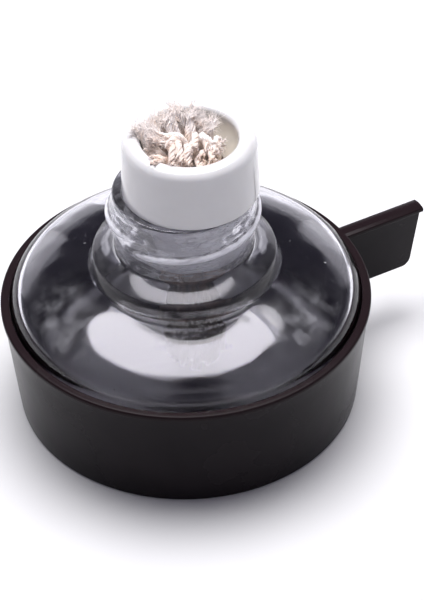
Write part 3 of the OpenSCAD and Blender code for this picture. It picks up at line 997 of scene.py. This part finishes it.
def keepInBowl(holder, place, margin):
    # Moves a point of the tuft back from the porcelain where it would touch it
    top = holder["mouth"] + holder["collarHeight"]
    if place.z > top:
        return place
    flat = Vector((place.x - holder["shift"], place.y))
    free = bowlRadius(holder, place.z) - margin
    if flat.length > free:
        flat *= free / flat.length
    return Vector((holder["shift"] + flat.x, flat.y, place.z))


def addTubes(name, tubes, resolution):
    # Each tube is a list of points with their radii
    data = bpy.data.curves.new(name, "CURVE")
    data.dimensions = "3D"
    data.bevel_depth = mm
    data.bevel_resolution = resolution
    data.use_fill_caps = True
    for tube in tubes:
        spline = data.splines.new("POLY")
        spline.points.add(len(tube) - 1)
        for point, (place, radius) in zip(spline.points, tube):
            point.co = (*(place * mm), 1.0)
            point.radius = radius
    curve = bpy.data.objects.new(name, data)
    bpy.context.scene.collection.objects.link(curve)
    bpy.ops.object.select_all(action="DESELECT")
    curve.select_set(True)
    bpy.context.view_layer.objects.active = curve
    bpy.ops.object.convert(target="MESH")
    return bpy.context.object


def randomVector(chance, size, axes=3):
    return Vector([chance.gauss(0.0, size) for axis in range(axes)])


def strandTop(form, holder, number, chance):
    # Direction and turn of a strand's free top, where it starts, its length, and how far it stays a rope
    home, ring = hexHome(number, form["pitch"])
    top = holder["mouth"] + holder["collarHeight"]
    split = bowlLip(holder) - holder["bowlDepth"] + form["splitRise"]
    fall = form["tuftFall"] * (ring / form["rings"]) ** 2
    tip = top + form["tuftHeight"] - fall + strandVary(form, number)
    aim = home.normalized() if ring else Vector(form["centreAim"])
    aim = (aim + randomVector(chance, form["aimStray"], 2) + Vector(form["aimDrift"])).normalized()
    if aim.x > 0:
        aim = Vector((aim.x * form["rightAim"], aim.y)).normalized()
    front, left = max(0.0, -aim.y), max(0.0, -aim.x)
    right = max(0.0, home.x) / (form["rings"] * form["pitch"])
    part = "outer" if ring == form["rings"] else "inner"
    turn = form[part + "Turn"] + form[part + "Front"] * front + chance.gauss(0.0, form["turnStray"])
    turn += form["leftTurn"] * left + form["rightTurn"] * right
    length = tip - split + form[part + "More"] * front
    return aim, math.radians(turn), split, length, form[part + "Rope"] * front


def plyPath(form, holder, number, top, ply, chance):
    # Points and radii along one ply, from its tail to its cut end
    tail = form["tailHeight"] + form["vary"] + strandVary(form, number + form["strands"])
    split, yarnHome, aim, rope = top["split"], top["yarnHome"], top["aim"], top["rope"]
    off = hexHome(ply, form["plyPitch"])[0]
    path = []
    for k in range(form["lowerSteps"]):
        z = tail + (split - tail) * k / form["lowerSteps"]
        centre, swell = strandCentre(form, holder, number, z)
        across = turned(yarnHome + off, 2 * math.pi * (z - split) / form["strandLay"]) * swell
        place = centre + Vector((across.x, across.y, 0.0))
        place = keepInBowl(holder, place, form["plyRadius"] + form["plyClear"])
        path.append((place, form["plyRadius"] * swell))
    # Above, the yarn turns outwards and its plies come apart towards their cut ends
    step = (top["length"] + chance.uniform(-1.0, 1.0) * form["cutVary"]) / form["upperSteps"]
    frayFrom = chance.uniform(*form["frayFrom"]) + form["frontHold"] * rope
    drift = randomVector(chance, form["frayDrift"])
    turnFrom, turnSpan = form["ropeDelay"] * rope, form["turnSpan"] - form["ropeHaste"] * rope
    z, reach = split, 0.0
    for k in range(form["upperSteps"] + 1):
        rise = k / form["upperSteps"]
        lean = top["turn"] * smoothStep((rise - turnFrom) / turnSpan)
        free = smoothStep((rise - frayFrom) / (form["frayEnd"] - frayFrom))
        centre, swell = strandCentre(form, holder, number, z)
        across = turned(off * (1 + form["fray"] * free), 2 * math.pi * step * k / form["yarnLay"]) * swell
        ahead = across.dot(aim)
        flat = yarnHome * swell + across + aim * (ahead * (math.cos(lean) - 1) + reach)
        place = centre + Vector((flat.x, flat.y, -ahead * math.sin(lean))) + drift * free
        radius = form["plyRadius"] * swell * (1 - form["frayThin"] * free)
        path.append((keepInBowl(holder, place, radius + form["plyClear"]), radius))
        z += step * math.cos(lean)
        reach += step * math.sin(lean)
    return path


def looseFibres(form, holder, path, rope, chance):
    # Fine fibres past the cut end of a ply, and short fuzz along it
    (last, width), before = path[-1], path[-3][0]
    ahead = (last - before).normalized()
    kind = "ropeFluff" if rope > form["ropeShare"] else "fluff"
    lengths, steps, clear = form[kind + "Length"], form["fibreSteps"], form["fibreClear"]
    fibres = []
    for fibre in range(form[kind]):
        start = last - ahead * chance.uniform(*form["fluffRoot"]) * lengths[1]
        start += randomVector(chance, width * form["fluffSpread"])
        way = (ahead + randomVector(chance, form["fibreFan"])).normalized()
        curl = randomVector(chance, form["fibreCurl"]) * form["curlShare"]
        reach = chance.uniform(*lengths)
        tube = []
        for k in range(steps + 1):
            place = start + (way * k / steps + curl * (k / steps) ** 2) * reach
            radius = form["fibreRadius"] * (1 - form["fibreTaper"] * k)
            tube.append((keepInBowl(holder, place, clear), radius))
        fibres.append(tube)
    for fuzz in range(form["fuzz"]):
        root, width = path[chance.randrange(form["lowerSteps"] + form["fuzzFrom"], len(path))]
        way = randomVector(chance, 1.0).normalized()
        bent = way + randomVector(chance, form["fuzzBend"])
        tube = []
        for k in range(form["fuzzPoints"]):
            place = root + way * width * form["fuzzRoot"] + bent * form["fuzzStep"] * k
            tube.append((keepInBowl(holder, place, clear), form["fibreRadius"]))
        fibres.append(tube)
    return fibres


def makeStrand(form, holder, number, chance):
    aim, turn, split, length, rope = strandTop(form, holder, number, chance)
    phase = chance.uniform(0.0, 2 * math.pi)
    plyTubes, fibreTubes = [], []
    for yarn in range(form["yarns"]):
        stray = randomVector(chance, form["yarnStray"], 2)
        top = {
            "yarnHome": turned(Vector((form["yarnOut"], 0.0)), phase + 2 * math.pi * yarn / form["yarns"]),
            "aim": (aim + stray).normalized(), "rope": rope, "split": split,
            "turn": turn + math.radians(chance.gauss(0.0, form["yarnTurnStray"])),
            "length": length - chance.uniform(0.0, form["yarnCut"]),
        }
        for ply in range(1, form["plies"] + 1):
            path = plyPath(form, holder, number, top, ply, chance)
            plyTubes.append(path)
            fibreTubes += looseFibres(form, holder, path, rope, chance)
    name = "wickStrand%02d" % number
    strand = addTubes(name, plyTubes, 1)
    frayed = addTubes(name + "Fibres", fibreTubes, 0)
    bpy.ops.object.select_all(action="DESELECT")
    frayed.select_set(True)
    strand.select_set(True)
    bpy.context.view_layer.objects.active = strand
    bpy.ops.object.join()
    bpy.ops.object.shade_smooth()
    dress(strand, undyedCotton, "cotton", "wick", "wick_strand_%d" % number)
    return len(strand.data.polygons)


def makeWick(form, holder):
    chance = random.Random(form["seed"])
    faces = [makeStrand(form, holder, number, chance) for number in range(1, form["strands"] + 1)]
    print("wick made of", len(faces), "strands,", sum(faces), "faces")


makeWick(wickForm, holderForm)
